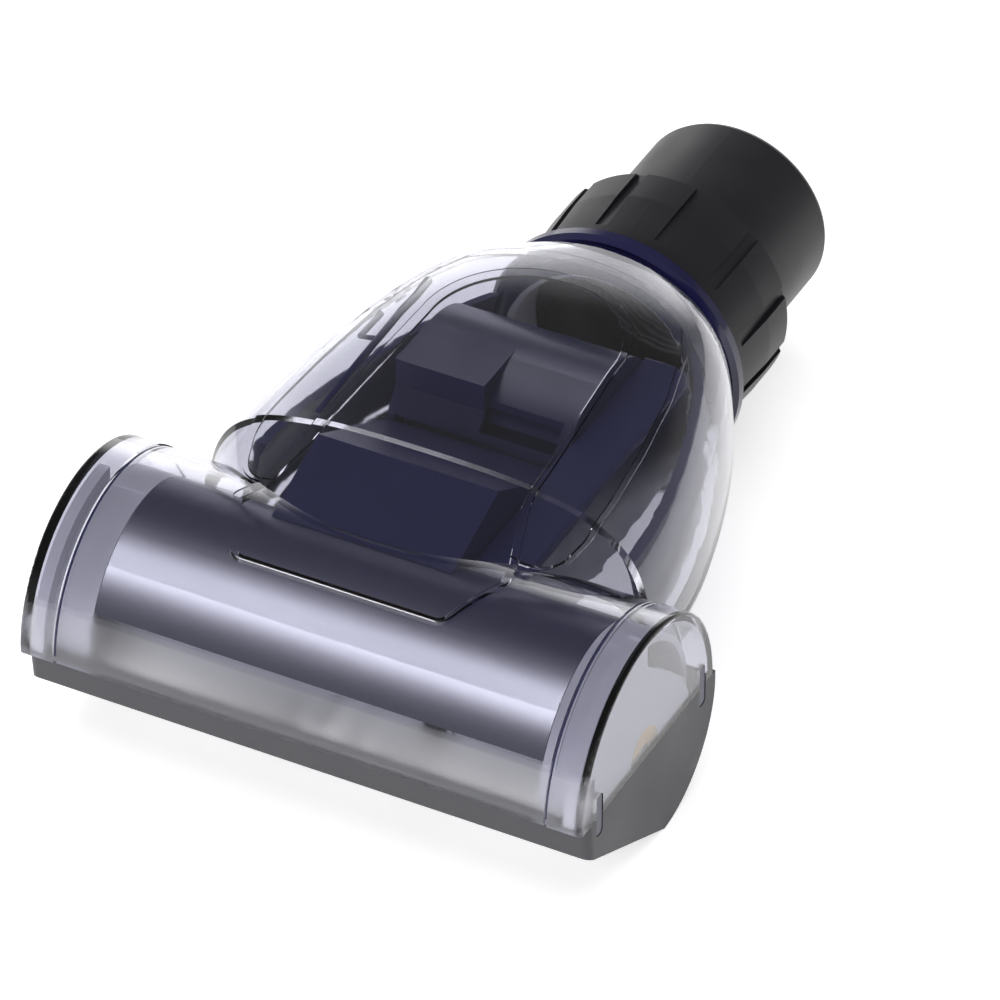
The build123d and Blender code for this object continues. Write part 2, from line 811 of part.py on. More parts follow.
brush_pulley = ribbed_pulley(
    head_y, parting_height, brush_pulley_radius, core_radius / 2 + fixed_gap
)
brush_pulley.label = "brush_pulley"
drive_pulley = ribbed_pulley(
    turbine_y, turbine_height, drive_pulley_radius, shaft_radius + fixed_gap
)
drive_pulley.label = "drive_pulley"

# Brush roll: core with a reduced seat for its pulley, bristle tufts, axle and bushes
core_bore = axle_radius + fixed_gap
pulley_room = pulley_half_length + seat_gap
with BuildPart() as brush_core:
    for x_range in (
        (-roll_half_length, belt_at - pulley_room),
        (belt_at + pulley_room, roll_half_length),
    ):
        with BuildSketch(Plane.YZ.offset(x_range[0])) as core_face:
            with Locations((head_y, parting_height)):
                Circle(core_radius)
        extrude(amount=x_range[1] - x_range[0])
    with BuildSketch(Plane.YZ.offset(-roll_half_length)) as core_seat:
        with Locations((head_y, parting_height)):
            Circle(core_radius / 2)
    extrude(amount=2 * roll_half_length)
    with BuildSketch(Plane.YZ.offset(-roll_half_length)) as core_hole:
        with Locations((head_y, parting_height)):
            Circle(core_bore)
    extrude(amount=2 * roll_half_length, mode=Mode.SUBTRACT)
brush_core.part.label = "brush_core"

tuft_columns = 1 + 2 * int((roll_half_length - tuft_radius - 1) // tuft_pitch)
with BuildPart() as bristle_tufts:
    for column in range(tuft_columns):
        x = (column - (tuft_columns - 1) / 2) * tuft_pitch
        if abs(x - belt_at) < pulley_half_length + tuft_radius + free_gap:
            continue
        for row in range(tuft_rows):
            turn = row * 360 / tuft_rows + tuft_phase + tuft_twist * abs(x)
            direction = (0, cos(radians(turn)), sin(radians(turn)))
            foot = (
                x,
                head_y + core_radius * direction[1],
                parting_height + core_radius * direction[2],
            )
            with BuildSketch(Plane(origin=foot, x_dir=(1, 0, 0), z_dir=direction)):
                RegularPolygon(tuft_radius, 6)
            extrude(amount=bristle_radius - core_radius)
bristle_tufts.part.label = "bristle_tufts"

axle_end = end_plate_at + end_plate_thickness / 2 - 0.3
brush_axle = disc_across(head_y, parting_height, axle_radius, (-axle_end, axle_end))
brush_axle.label = "brush_axle"

plate_in = end_plate_at - end_plate_thickness / 2
plate_out = end_plate_at + end_plate_thickness / 2
hub_out = roll_half_length + 1.0
axle_bore = axle_radius + running_gap
brush_bush_left = bush(head_y, parting_height, bearing_outer, axle_bore, (-plate_out, -hub_out))
brush_bush_right = bush(head_y, parting_height, bearing_outer, axle_bore, (hub_out, plate_out))
brush_bush_left.label = "brush_bush_left"
brush_bush_right.label = "brush_bush_right"

# End plates: light mouldings inside the ends of the head that carry the brush bushes
plate_radius = head_radius - wall - free_gap
plate_disc = sole_distance - wall - seat_gap
plate_top = 1.0             # behind the axis, where the round front ends
plate_corner = (17.7, 7.5)  # behind and over the axis
plate_back = (20.4, 1.7)


def roll_plane(x):
    """Cross plane at x with its origin on the roll's axis, its x along +Y."""
    return Plane(origin=(x, head_y, parting_height), x_dir=(0, 1, 0), z_dir=(1, 0, 0))


def end_plate(x_start, x_end, skirt_end):
    """Plate with a round front up to the cover's top, a sloping rear edge and a skirt."""
    with BuildPart() as plate:
        with BuildSketch(roll_plane(x_start)) as plate_face:
            Circle(plate_radius)
            with BuildLine():
                Polyline(
                    (-head_radius, seat_gap),
                    (-head_radius, head_radius),
                    (plate_top, head_radius),
                    (plate_top, plate_radius - 6.0),
                    plate_corner,
                    plate_back,
                    (plate_back[0], seat_gap),
                    close=True,
                )
            make_face(mode=Mode.INTERSECT)
            Circle(plate_disc)
            Circle(bearing_outer + fixed_gap, mode=Mode.SUBTRACT)
        extrude(amount=x_end - x_start)
        near = min(skirt_end, x_end)
        away = max(skirt_end, x_start)
        with BuildSketch(roll_plane(near)) as skirt:
            Circle(tunnel_radius)
            Circle(tunnel_inner, mode=Mode.SUBTRACT)
            with Locations((0, -head_radius / 2 + seat_gap)):
                Rectangle(2 * head_radius, head_radius, mode=Mode.SUBTRACT)
        extrude(amount=away - near)
    return plate.part


end_plate_left = end_plate(-plate_out, -plate_in, -tunnel_left - seat_gap)
end_plate_right = end_plate(plate_in, plate_out, tunnel_right + seat_gap)
end_plate_left.label = "end_plate_left"
end_plate_right.label = "end_plate_right"

# Belt cover: navy cap over the belt, right of the duct and the turbine
belt_cover_top = parting_height + belt_cover_rise
cover_x = (turbine_right + seat_gap, belt_at + pulley_half_length + free_gap + thin_wall)
cover_y = (head_y, turbine_y + drive_pulley_radius + belt_cover_rear)


def belt_cap(inset, top):
    """Filled body of the belt cover."""
    with BuildPart() as cap:
        with BuildSketch(Plane.XY.offset(parting_height)) as plan:
            with Locations((sum(cover_x) / 2, sum(cover_y) / 2)):
                Rectangle(cover_x[1] - cover_x[0], cover_y[1] - cover_y[0])
            rear_corners = plan.vertices().group_by(Axis.Y)[-1]
            fillet(rear_corners.sort_by(Axis.X)[-1], radius=belt_cover_corner)
            if inset:
                offset(amount=-inset)
        extrude(amount=top - parting_height)
    return cap.part


belt_cap_room = belt_cap(thin_wall, belt_cover_top - thin_wall)
shaft_hole = disc_across(
    turbine_y, turbine_height, turbine_bush_radius + seat_gap, (turbine_right, belt_at)
)
with BuildPart() as belt_cover:
    add(belt_cap(0, belt_cover_top))
    top_rim = belt_cover.edges().group_by(Axis.Z)[-1].sort_by(Axis.X)[-3:]
    fillet(top_rim, radius=belt_cover_rim)
    add(belt_cap_room, mode=Mode.SUBTRACT)
    add(tunnel_cutter, mode=Mode.SUBTRACT)
    add(shaft_hole, mode=Mode.SUBTRACT)
belt_cover.part.label = "belt_cover"

# Guide walls: navy strips that stand on the shell's flange along both sides of the dome
guide_outer = dome_body(guide_inset)
guide_inner = dome_body(guide_inset + guide_thickness)
for side, name in ((-1, "guide_wall_left"), (1, "guide_wall_right")):
    guide_space = slab(
        (0, side * far) if side > 0 else (-far, 0),
        (head_y + head_radius + 4, neck_y - neck_spigot_depth - 2),
        (parting_height, parting_height + guide_height),
    )
    with BuildPart() as guide_wall:
        add(guide_outer)
        add(guide_inner, mode=Mode.SUBTRACT)
        add(guide_space, mode=Mode.INTERSECT)
    guide_wall.part.label = name
    if side < 0:
        guide_wall_left = guide_wall.part
    else:
        guide_wall_right = guide_wall.part

# Latches: navy tabs in the end walls that hold cover and sole housing together
latches = {}
for side, y in latch_places:
    end = "left" if side < 0 else "right"
    place = "front" if y < head_y else "rear"
    tab = latch_box(side, y, 0)
    tab.label = f"latch_{place}_{end}"
    latches[tab.label] = tab

# Neck ring: navy ring with a spigot in the clear neck and a sleeve that the collar turns on
sleeve_start = neck_at + ring_thickness
sleeve_inner = tube_flange_radius + running_gap
ring_step = tube_radius + free_gap
flange_start = neck_at + tube_inset
ring_radius = neck_height
neck_ring = tube_about_neck([
    (neck_at - neck_spigot_depth, ring_step),
    (neck_at - neck_spigot_depth, neck_bore),
    (neck_at, neck_bore),
    (neck_at, ring_radius - ring_edge),
    (neck_at + ring_edge * 0.7, ring_radius),
    (sleeve_start - ring_edge * 0.7, ring_radius),
    (sleeve_start, ring_radius - ring_edge),
    (sleeve_start, bearing_radius),
    (sleeve_start + bearing_length, bearing_radius),
    (sleeve_start + bearing_length, sleeve_inner),
    (flange_start - free_gap, sleeve_inner),
    (flange_start - free_gap, ring_step),
])
neck_ring.label = "neck_ring"

# Retaining ring: holds the tube's flange in the sleeve
retainer_start = flange_start + tube_flange_thickness + free_gap
retainer_end = retainer_start + wall
retaining_ring = tube_about_neck([
    (retainer_start, ring_step),
    (retainer_start, sleeve_inner - fixed_gap),
    (retainer_end, sleeve_inner - fixed_gap),
    (retainer_end, ring_step),
])
retaining_ring.label = "retaining_ring"

# Outlet liner: light lining of the neck ring, with a chamfered mouth to the turbine's side
liner_radius = ring_step - fixed_gap
liner_start = neck_at - neck_spigot_depth
outlet_liner = tube_about_neck([
    (liner_start, liner_radius),
    (flange_start - 2 * free_gap, liner_radius),
    (flange_start - 2 * free_gap, liner_radius - liner_wall),
    (liner_start + liner_wall, liner_radius - liner_wall),
])
outlet_liner.label = "outlet_liner"

# Grip collar: black ring with raised pads between grooves
collar_start = sleeve_start + collar_gap
collar_end = collar_start + collar_length
collar_bore = bearing_radius + running_gap
pad_edge = 1.4
collar_body = tube_about_neck([
    (collar_start, collar_bore),
    (collar_start, collar_front_radius - pad_edge / 2),
    (collar_start + pad_edge, collar_front_radius),
    (collar_start + collar_length * 0.6, collar_radius),
    (collar_end - pad_edge, collar_radius),
    (collar_end, collar_radius - pad_edge),
    (collar_end, ring_step + free_gap),
    (collar_end - collar_lip, ring_step + free_gap),
    (collar_end - collar_lip, collar_bore),
])
groove_length = collar_length - collar_lip
collar_middle = Plane(
    origin=(0, front_y + collar_end - groove_length / 2, neck_height),
    x_dir=(1, 0, 0),
    z_dir=(0, 1, 0),
)
with BuildPart() as grip_collar:
    add(collar_body)
    with BuildSketch(collar_middle.offset(-groove_length / 2)) as grooves:
        with PolarLocations(
            collar_radius, collar_pads, start_angle=90 + 180 / collar_pads
        ):
            Rectangle(2 * collar_groove_depth, collar_groove_width)
    extrude(amount=groove_length + 1, mode=Mode.SUBTRACT)
grip_collar.part.label = "grip_collar"

# Connector tube: swivels in the sleeve; its rim at the mouth is slightly thicker
tube_end_at = overall_length
tube_bore = tube_radius - tube_wall
connector_tube = tube_about_neck([
    (flange_start, tube_bore),
    (flange_start, tube_flange_radius),
    (flange_start + tube_flange_thickness, tube_flange_radius),
    (flange_start + tube_flange_thickness, tube_radius),
    (tube_end_at - rim_rounding, tube_radius),
    (tube_end_at - rim_rounding * 0.3, tube_radius - rim_rounding * 0.3),
    (tube_end_at, tube_radius - rim_rounding),
    (tube_end_at, tube_bore),
])
connector_tube.label = "connector_tube"

# Adaptor sleeve: soft lining of the mouth that grips the wand
sleeve_end_at = tube_end_at - free_gap
adaptor_sleeve = tube_about_neck([
    (tube_end_at - sleeve_depth, sleeve_bore),
    (tube_end_at - sleeve_depth, tube_bore - fixed_gap),
    (sleeve_end_at, tube_bore - fixed_gap),
    (sleeve_end_at, sleeve_bore + sleeve_lip),
    (sleeve_end_at - sleeve_lip, sleeve_bore),
])
adaptor_sleeve.label = "adaptor_sleeve"

# Screws: two in the head and two in the lower shell, all from below
with BuildPart() as screws:
    for x, y, seat in (
        (head_screw_x, head_screw_y, head_screw_seat),
        (shell_screw_x, shell_screw_y, shell_screw_seat),
    ):
        for side in (-1, 1):
            with Locations((side * x, y, seat - screw_head_height)):
                Cylinder(
                    screw_head_radius,
                    screw_head_height,
                    align=(Align.CENTER, Align.CENTER, Align.MIN),
                )
                Cylinder(
                    screw_radius, screw_length, align=(Align.CENTER, Align.CENTER, Align.MIN)
                )
screws.part.label = "screws"

# Every finished piece goes into its own file
finished = [
    sole_housing.part, clear_cover.part, lower_shell.part, brush_tunnel.part, air_duct.part,
    turbine_housing.part, turbine_wheel.part, turbine_shaft_part, turbine_bush_left,
    turbine_bush_right, drive_belt.part, brush_pulley, drive_pulley, brush_core.part,
    bristle_tufts.part, brush_axle, brush_bush_left, brush_bush_right, end_plate_left,
    end_plate_right, belt_cover.part, guide_wall_left, guide_wall_right, neck_ring,
    retaining_ring, outlet_liner, grip_collar.part, connector_tube, adaptor_sleeve, screws.part,
]
finished += list(latches.values())
os.makedirs("parts", exist_ok=True)
for piece in finished:
    export_step(piece, f"parts/{piece.label}.step")
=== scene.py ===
import bmesh
import bpy
import numpy as np
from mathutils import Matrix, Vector


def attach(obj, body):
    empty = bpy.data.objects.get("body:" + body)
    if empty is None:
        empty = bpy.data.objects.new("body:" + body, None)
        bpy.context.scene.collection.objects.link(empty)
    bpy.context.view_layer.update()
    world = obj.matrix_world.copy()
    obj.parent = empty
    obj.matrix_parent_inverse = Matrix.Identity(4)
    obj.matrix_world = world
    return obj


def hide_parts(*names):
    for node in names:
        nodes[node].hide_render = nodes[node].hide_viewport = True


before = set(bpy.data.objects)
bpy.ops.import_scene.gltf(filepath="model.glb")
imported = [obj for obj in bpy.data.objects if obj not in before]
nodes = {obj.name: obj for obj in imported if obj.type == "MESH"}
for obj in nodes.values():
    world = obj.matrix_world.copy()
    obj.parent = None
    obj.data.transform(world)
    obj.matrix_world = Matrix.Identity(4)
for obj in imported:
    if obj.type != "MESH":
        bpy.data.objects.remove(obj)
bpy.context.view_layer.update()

# Camera: the viewpoint of a product photograph, from the front right and well above,
# with a long lens. The image is square.
camera_place = Vector((0.653943, -1.270927, 1.126468))
camera_target = Vector((0.016210, -0.042500, 0.054180))
camera_data = bpy.data.cameras.new("photo_camera")
camera_data.lens = 302.19
camera_data.sensor_width = 36.0
camera_data.clip_end = 20.0
camera = bpy.data.objects.new("photo_camera", camera_data)
camera.location = camera_place
camera.rotation_euler = (camera_target - camera_place).to_track_quat("-Z", "Y").to_euler()
bpy.context.scene.collection.objects.link(camera)
bpy.context.scene.camera = camera

# Sole housing: the grey tray under the head. It is ABS, injection moulded in a tool with a
# fine eroded grain, and its flat underside gets rubbed by carpets.
noise_range = (0.3, 0.7)            # where nearly all of a noise's values lie
scuff_range = (0.56, 0.66)          # noise values at which a scuff starts and is full
scuff_heights = (0.001, 0.012)      # scuffs are full below the first and gone above the second


def srgb(code, alpha=1.0):
    """Linear colour of an sRGB hex value."""
    parts = np.array([int(code[i:i + 2], 16) for i in (1, 3, 5)]) / 255.0
    parts = np.where(parts <= 0.04045, parts / 12.92, ((parts + 0.055) / 1.055) ** 2.4)
    return (*parts.tolist(), alpha)


def add_node(tree, kind, inputs=None, **settings):
    """Add a node with its settings; an input is a value, or a socket to link from."""
    made = tree.nodes.new(kind)
    for name, value in settings.items():
        setattr(made, name, value)
    for name, value in (inputs or {}).items():
        if isinstance(value, bpy.types.NodeSocket):
            tree.links.new(value, made.inputs[name])
        else:
            made.inputs[name].default_value = value
    return made


def material_tree(name):
    """New material with an empty node tree: the material and its tree."""
    made = bpy.data.materials.new(name)
    made.use_nodes = True
    made.node_tree.nodes.clear()
    return made, made.node_tree


def own_place(tree):
    """Place on the object, in its own coordinates."""
    return add_node(tree, "ShaderNodeTexCoord").outputs["Object"]


def noise(tree, place, scale, detail):
    """Noise with so many waves per metre, in every direction or given for each axis."""
    if isinstance(scale, tuple):
        place = add_node(tree, "ShaderNodeMapping", {"Vector": place, "Scale": scale}).outputs[0]
        scale = 1.0
    return add_node(tree, "ShaderNodeTexNoise", {
        "Vector": place, "Scale": scale, "Detail": detail}).outputs["Fac"]


def remap(tree, value, low, high, out_low=0.0, out_high=1.0, shape="LINEAR"):
    """Carry a value between low and high over to between out_low and out_high."""
    return add_node(tree, "ShaderNodeMapRange", {
        "Value": value, "From Min": low, "From Max": high,
        "To Min": out_low, "To Max": out_high}, interpolation_type=shape).outputs[0]


def maths(tree, operation, *values):
    """Result of a Math node."""
    return add_node(
        tree, "ShaderNodeMath", dict(enumerate(values)), operation=operation).outputs[0]


def blend(tree, factor, first, second):
    """Colour between two sRGB hex values."""
    return add_node(tree, "ShaderNodeMix", {
        "Factor": factor, "A": srgb(first), "B": srgb(second)},
        data_type="RGBA").outputs["Result"]


def relief(tree, height, strength, depth):
    """Normal of a surface with these heights, so many metres deep."""
    return add_node(tree, "ShaderNodeBump", {
        "Strength": strength, "Distance": depth, "Height": height}).outputs[0]


def principled(tree, inputs):
    """End the tree in a Principled surface."""
    shader = add_node(tree, "ShaderNodeBsdfPrincipled", inputs)
    add_node(tree, "ShaderNodeOutputMaterial", {"Surface": shader.outputs[0]})


def dress(material, *names):
    """Give CAD nodes this material in place of their plain one."""
    for name in names:
        slots = nodes[name].data.materials
        slots.clear()
        slots.append(material)


grey_abs, tree = material_tree("moulded_grey_abs")
place = own_place(tree)
# eroded grain, drawn at 0.5 mm because the real 0.1 mm grain is too fine to show
grain = noise(tree, place, scale=2000.0, detail=3.0)
patches = noise(tree, place, scale=45.0, detail=4.0)
# scuffs run from front to back, the way the brush is pushed, and only near the floor
rubbed = noise(tree, place, scale=(900.0, 30.0, 60.0), detail=5.0)
height = add_node(tree, "ShaderNodeSeparateXYZ", {"Vector": place}).outputs["Z"]
scuffs = maths(tree, "MULTIPLY", remap(tree, rubbed, *scuff_range),
               remap(tree, height, *scuff_heights, 1.0, 0.0))
worn = add_node(tree, "ShaderNodeMix", {
    "Factor": scuffs, "A": blend(tree, patches, "#464549", "#4f4e53"), "B": srgb("#77767a")},
    data_type="RGBA").outputs["Result"]
principled(tree, {
    "Base Color": worn, "Roughness": remap(tree, patches, *noise_range, 0.46, 0.58),
    "Normal": relief(tree, grain, strength=0.35, depth=0.0001), "IOR": 1.54,
    "Specular IOR Level": 0.4})
dress(grey_abs, "sole_housing")

# Navy inner mouldings: duct, turbine housing and wheel, belt cover, guides and latches.
# They are ABS coloured through and polished by the tool, so they shine softly under the cover.


def moulded(name, scale, detail, colours, roughs, ior, more=None):
    """Plastic or rubber whose colour and roughness drift over a noise; more holds further
    inputs of its surface."""
    made, tree = material_tree(name)
    flow = noise(tree, own_place(tree), scale, detail)
    principled(tree, {
        "Base Color": blend(tree, flow, *colours),
        "Roughness": remap(tree, flow, *noise_range, *roughs), "IOR": ior, **(more or {})})
    return made


navy_abs = moulded("moulded_navy_abs", scale=70.0, detail=3.0, colours=("#26264a", "#2c2c50"),
                   roughs=(0.30, 0.36), ior=1.54)
dress(navy_abs, "air_duct", "turbine_housing", "turbine_wheel", "belt_cover",
      "guide_wall_left", "guide_wall_right", "latch_front_left", "latch_front_right",
      "latch_rear_left", "latch_rear_right")

# Brush tunnel: the half-round navy shell over the roll, ABS with a pearl pigment. Its fine flakes
# lie along the surface and spread the reflection of a lamp into one broad band.
pearl_abs = moulded("moulded_pearl_abs", scale=(12.0, 90.0, 90.0), detail=3.0,
                    colours=("#222244", "#28284c"), roughs=(0.32, 0.36), ior=1.54)
dress(pearl_abs, "brush_tunnel")

# Neck ring: the navy ring between the clear neck and the collar. It is the same ABS as the inner
# mouldings, but uncovered and polished, so its reflections are sharp.
gloss_navy = moulded("polished_navy_abs", scale=90.0, detail=3.0,
                     colours=("#17163c", "#1f1e47"), roughs=(0.08, 0.14), ior=1.54)
dress(gloss_navy, "neck_ring")

# End plates and outlet liner: the light discs at both ends of the roll, which hold its bushes,
# and the tube in the neck. They are light grey acetal, satin from the tool.
light_acetal = moulded("moulded_light_acetal", scale=110.0, detail=3.0,
                       colours=("#dedee4", "#e8e8ee"), roughs=(0.38, 0.46), ior=1.48)
dress(light_acetal, "end_plate_left", "end_plate_right", "outlet_liner")

# Brush roll: its light grey core, the pulley on it and the turbine's pulley. They are nylon,
# moulded, and a little duller than the end plates.
grey_nylon = moulded("moulded_grey_nylon", scale=160.0, detail=4.0,
                     colours=("#c2c2ca", "#cecfd6"), roughs=(0.44, 0.54), ior=1.53)
dress(grey_nylon, "brush_core", "brush_pulley", "drive_pulley")

# Bristle tufts: bundles of stiff nylon filaments, pushed into the core in two spiral rows and
# trimmed round. They stand in for the plain bars of the CAD model.
head_y = -0.072                     # the roll's axis
seam_z = 0.02598
core_radius = 0.0120
bristle_radius = 0.02158
tuft_pitch = 0.0066
tuft_columns = 17
tuft_rows = (0.0, 180.0)            # the two spirals' angles in the middle of the roll
tuft_skip = (0.0180, 0.0290)        # the belt's place on the roll
tuft_twist = 1700.0                 # degrees of helix per metre
tuft_phase = 8.0
tuft_radius = 0.00125
tuft_flare = 0.25                   # a tuft is this much wider at its tip
filaments = 42                      # in each tuft
filament_radius = 0.00011
filament_root = 0.0004              # depth in the core
filament_trim = 0.0003              # most that a filament is short of the roll's outer radius
filament_taper = 0.35
filament_rings = (0.0, 0.55, 1.0)   # places along a filament
golden_angle = 137.508


def fan(count, radius):
    """Sunflower points in a disc: point i lies at radius sqrt((i + 1/2) / count), turn 137.5 i."""
    i = np.arange(count)
    r = radius * np.sqrt((i + 0.5) / count)
    turn = np.radians(golden_angle) * i
    return r * np.cos(turn), r * np.sin(turn)


def tuft_mesh():
    """Three-sided filaments on every tuft. A filament runs from (a, b) on the tuft's foot to
    1.25 (a, b) at its tip, along the tuft's direction (0, cos t, sin t), its tip trimmed to the
    roll's outer radius less up to 0.3 mm."""
    column = (np.arange(tuft_columns) - (tuft_columns - 1) / 2) * tuft_pitch
    column = column[(column < tuft_skip[0]) | (column > tuft_skip[1])]
    x, row = [part.ravel() for part in np.meshgrid(column, tuft_rows, indexing="ij")]
    turn = np.radians(row + tuft_phase + tuft_twist * np.abs(x))
    out = np.stack([0 * turn, np.cos(turn), np.sin(turn)], -1)[:, None, None, None, :]
    side = np.stack([0 * turn, -np.sin(turn), np.cos(turn)], -1)[:, None, None, None, :]
    across = np.array([1.0, 0.0, 0.0])
    a, b = [part[None, :, None, None, None] for part in fan(filaments, tuft_radius)]
    chance = np.random.default_rng(7)
    trim = chance.uniform(0.0, filament_trim, (len(x), filaments))[:, :, None, None, None]
    along = np.array(filament_rings)[None, None, :, None, None]
    corner = np.radians([90.0, 210.0, 330.0])[None, None, None, :, None]
    reach = core_radius - filament_root + along * (
        bristle_radius - core_radius + filament_root - trim)
    lean = 1.0 + tuft_flare * along ** 2
    wide = filament_radius * (1.0 - filament_taper * along)
    points = (reach * out + (a * lean + wide * np.cos(corner)) * across
              + (b * lean + wide * np.sin(corner)) * side)
    middle = np.stack([x, 0 * x + head_y, 0 * x + seam_z], -1)[:, None, None, None, :]
    points = (points + middle).reshape(-1, 3)
    first = np.arange(len(points) // 9)[:, None] * 9
    walls = [(r * 3 + c, r * 3 + (c + 1) % 3, r * 3 + 3 + (c + 1) % 3, r * 3 + 3 + c)
             for r in range(2) for c in range(3)]
    quads = (first[:, :, None] + np.array(walls)[None]).reshape(-1, 4)
    caps = (first[:, :, None] + np.array([(6, 7, 8), (2, 1, 0)])[None]).reshape(-1, 3)
    return points, quads.tolist() + caps.tolist()


def add_piece(name, points, faces, material, smooth=True):
    """New object at the origin from its points and faces, with its material."""
    mesh = bpy.data.meshes.new(name)
    mesh.from_pydata(points.tolist(), [], faces)
    shape = bmesh.new()
    shape.from_mesh(mesh)
    bmesh.ops.remove_doubles(shape, verts=shape.verts, dist=1e-7)
    shape.to_mesh(mesh)
    shape.free()
    mesh.materials.append(material)
    mesh.polygons.foreach_set("use_smooth", [smooth] * len(mesh.polygons))
    mesh.update()
    piece = bpy.data.objects.new(name, mesh)
    bpy.context.scene.collection.objects.link(piece)
    return piece


# the noise is so fine that each filament is a little lighter or darker than its neighbours
nylon = moulded("drawn_grey_nylon_filament", scale=2600.0, detail=1.0,
                colours=("#a8a8b0", "#d6d6dc"), roughs=(0.34, 0.46), ior=1.53,
                more={"Transmission Weight": 0.15})
points, faces = tuft_mesh()
tufts = add_piece("filament_tufts", points, faces, nylon, False)
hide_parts("bristle_tufts")
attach(tufts, "brush_roll")

# Belt: the ribbed belt between the two pulleys, black rubber. Its skin is dull and a little
# dusty, since the belt sheds fine wear.
black_rubber = moulded("moulded_black_rubber", scale=300.0, detail=5.0,
                       colours=("#19191b", "#2a2a2d"), roughs=(0.62, 0.78), ior=1.52)
dress(black_rubber, "drive_belt")

# Adaptor sleeve: the soft grey-black lining of the connector, a moulded elastomer whose bore has
# fine ribs round it every 2 mm to grip the wand.
rib_pitch = 0.002
soft_lining, tree = material_tree("moulded_soft_elastomer")
place = own_place(tree)
bloom = noise(tree, place, scale=240.0, detail=4.0)
along = add_node(tree, "ShaderNodeSeparateXYZ", {"Vector": place}).outputs["Y"]
ribs = maths(tree, "SINE", maths(tree, "MULTIPLY", along, 2 * np.pi / rib_pitch))
principled(tree, {
    "Base Color": blend(tree, bloom, "#232326", "#2f2f33"),
    "Roughness": remap(tree, bloom, *noise_range, 0.60, 0.74),
    "Normal": relief(tree, ribs, strength=0.6, depth=0.0003), "IOR": 1.50})
dress(soft_lining, "adaptor_sleeve")

# Axles: the turbine's shaft and the roll's axle, ground steel rod. The grinding wheel leaves
# fine marks round it.


def machined(name, scale, detail, colour, roughs):
    """Bare metal with marks round it: roughness drifts over a noise that is fine along X."""
    made, tree = material_tree(name)
    marks = noise(tree, own_place(tree), scale, detail)
    principled(tree, {
        "Base Color": srgb(colour), "Metallic": 1.0,
        "Roughness": remap(tree, marks, *noise_range, *roughs)})
    return made


bright_steel = machined("ground_steel", scale=(2500.0, 60.0, 60.0), detail=3.0,
                        colour="#b9b9bb", roughs=(0.24, 0.36))
dress(bright_steel, "turbine_shaft", "brush_axle")

# Screws: pan-head screws with a cross recess and a coarse thread for plastic, cold formed and
# zinc plated, driven in from below: two in the head and two in the lower shell.
screw_head_radius = 0.0026
screw_head_height = 0.0018
screw_crown = 0.0006                # how far the head's edge lies above its middle
screw_radius = 0.0014
screw_length = 0.0150
thread_pitch = 0.0012
thread_depth = 0.0003
recess_arm = 0.0016
recess_half_width = 0.00032
recess_depth = 0.0009
recess_side_run = 0.0001            # run of the recess's slanted sides and of its arms' ends
recess_end_run = 0.0002
screw_turn_step = 5.0               # degrees between two columns of the grid
underside_rings = 27
shank_rings = 56
screw_places = ((0.0590, -0.05020, 0.0112), (0.0200, 0.0306, 0.0057))


def screw_surface(x, y, low):
    """Grid over a screw, from the middle of its underside outwards and then up to its tip.
    Underside: z = low + 0.6 mm (r / R)^4, plus the recess where one of |x|, |y| is under the
    arm's half width and the other under its reach. Shank: the radius falls and rises by the
    thread's depth as z / pitch - angle / 360 goes from one whole number to the next."""
    turn = np.radians(np.arange(0, 360, screw_turn_step))[None, :]
    r = np.linspace(0.0, 1.0, underside_rings)[:, None]
    px, py = r * np.cos(turn) * screw_head_radius, r * np.sin(turn) * screw_head_radius
    narrow, wide = np.minimum(np.abs(px), np.abs(py)), np.maximum(np.abs(px), np.abs(py))
    cut = np.clip((recess_half_width - narrow) / recess_side_run + 0.5, 0, 1)
    cut *= np.clip((recess_arm - wide) / recess_end_run + 0.5, 0, 1)
    under = np.stack([px, py, low + screw_crown * r ** 4 + recess_depth * cut], -1)
    top, tip = low + screw_head_height, low + screw_length
    z = np.concatenate([[top], np.linspace(top, tip, shank_rings), [tip]])[:, None]
    phase = z / thread_pitch - turn / (2 * np.pi)
    wave = np.abs(2 * (phase - np.floor(phase)) - 1)
    radius = screw_radius - thread_depth * wave
    radius[0], radius[-1] = screw_head_radius, 0.0
    shank = np.stack([radius * np.cos(turn), radius * np.sin(turn), z + 0 * turn], -1)
    return np.concatenate([under, shank]) + np.array([x, y, 0.0])


def join_grids(grids):
    """Points and quads of grids that each close round their columns."""
    points, faces = [], []
    for grid in grids:
        rows, columns = grid.shape[:2]
        i, j = np.meshgrid(np.arange(rows - 1), np.arange(columns), indexing="ij")
        k = (j + 1) % columns
        quads = np.stack([
            i * columns + j, i * columns + k, (i + 1) * columns + k, (i + 1) * columns + j], -1)
        faces += (quads.reshape(-1, 4) + len(points)).tolist()
        points += grid.reshape(-1, 3).tolist()
    return np.array(points), faces


points, faces = join_grids([
    screw_surface(side * x, y, low) for x, y, low in screw_places for side in (-1, 1)])
screws = add_piece("cross_recess_screws", points, faces, bright_steel)
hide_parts("screws")
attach(screws, "frame")

# Bushes: the four plain bearings of the shafts, turned from brass bar. The tool leaves fine
# rings round them.
turned_brass = machined("turned_brass", scale=(3000.0, 80.0, 80.0), detail=2.0,
                        colour="#c2a15e", roughs=(0.28, 0.40))
dress(turned_brass, "turbine_bush_left", "turbine_bush_right", "brush_bush_left",
      "brush_bush_right")

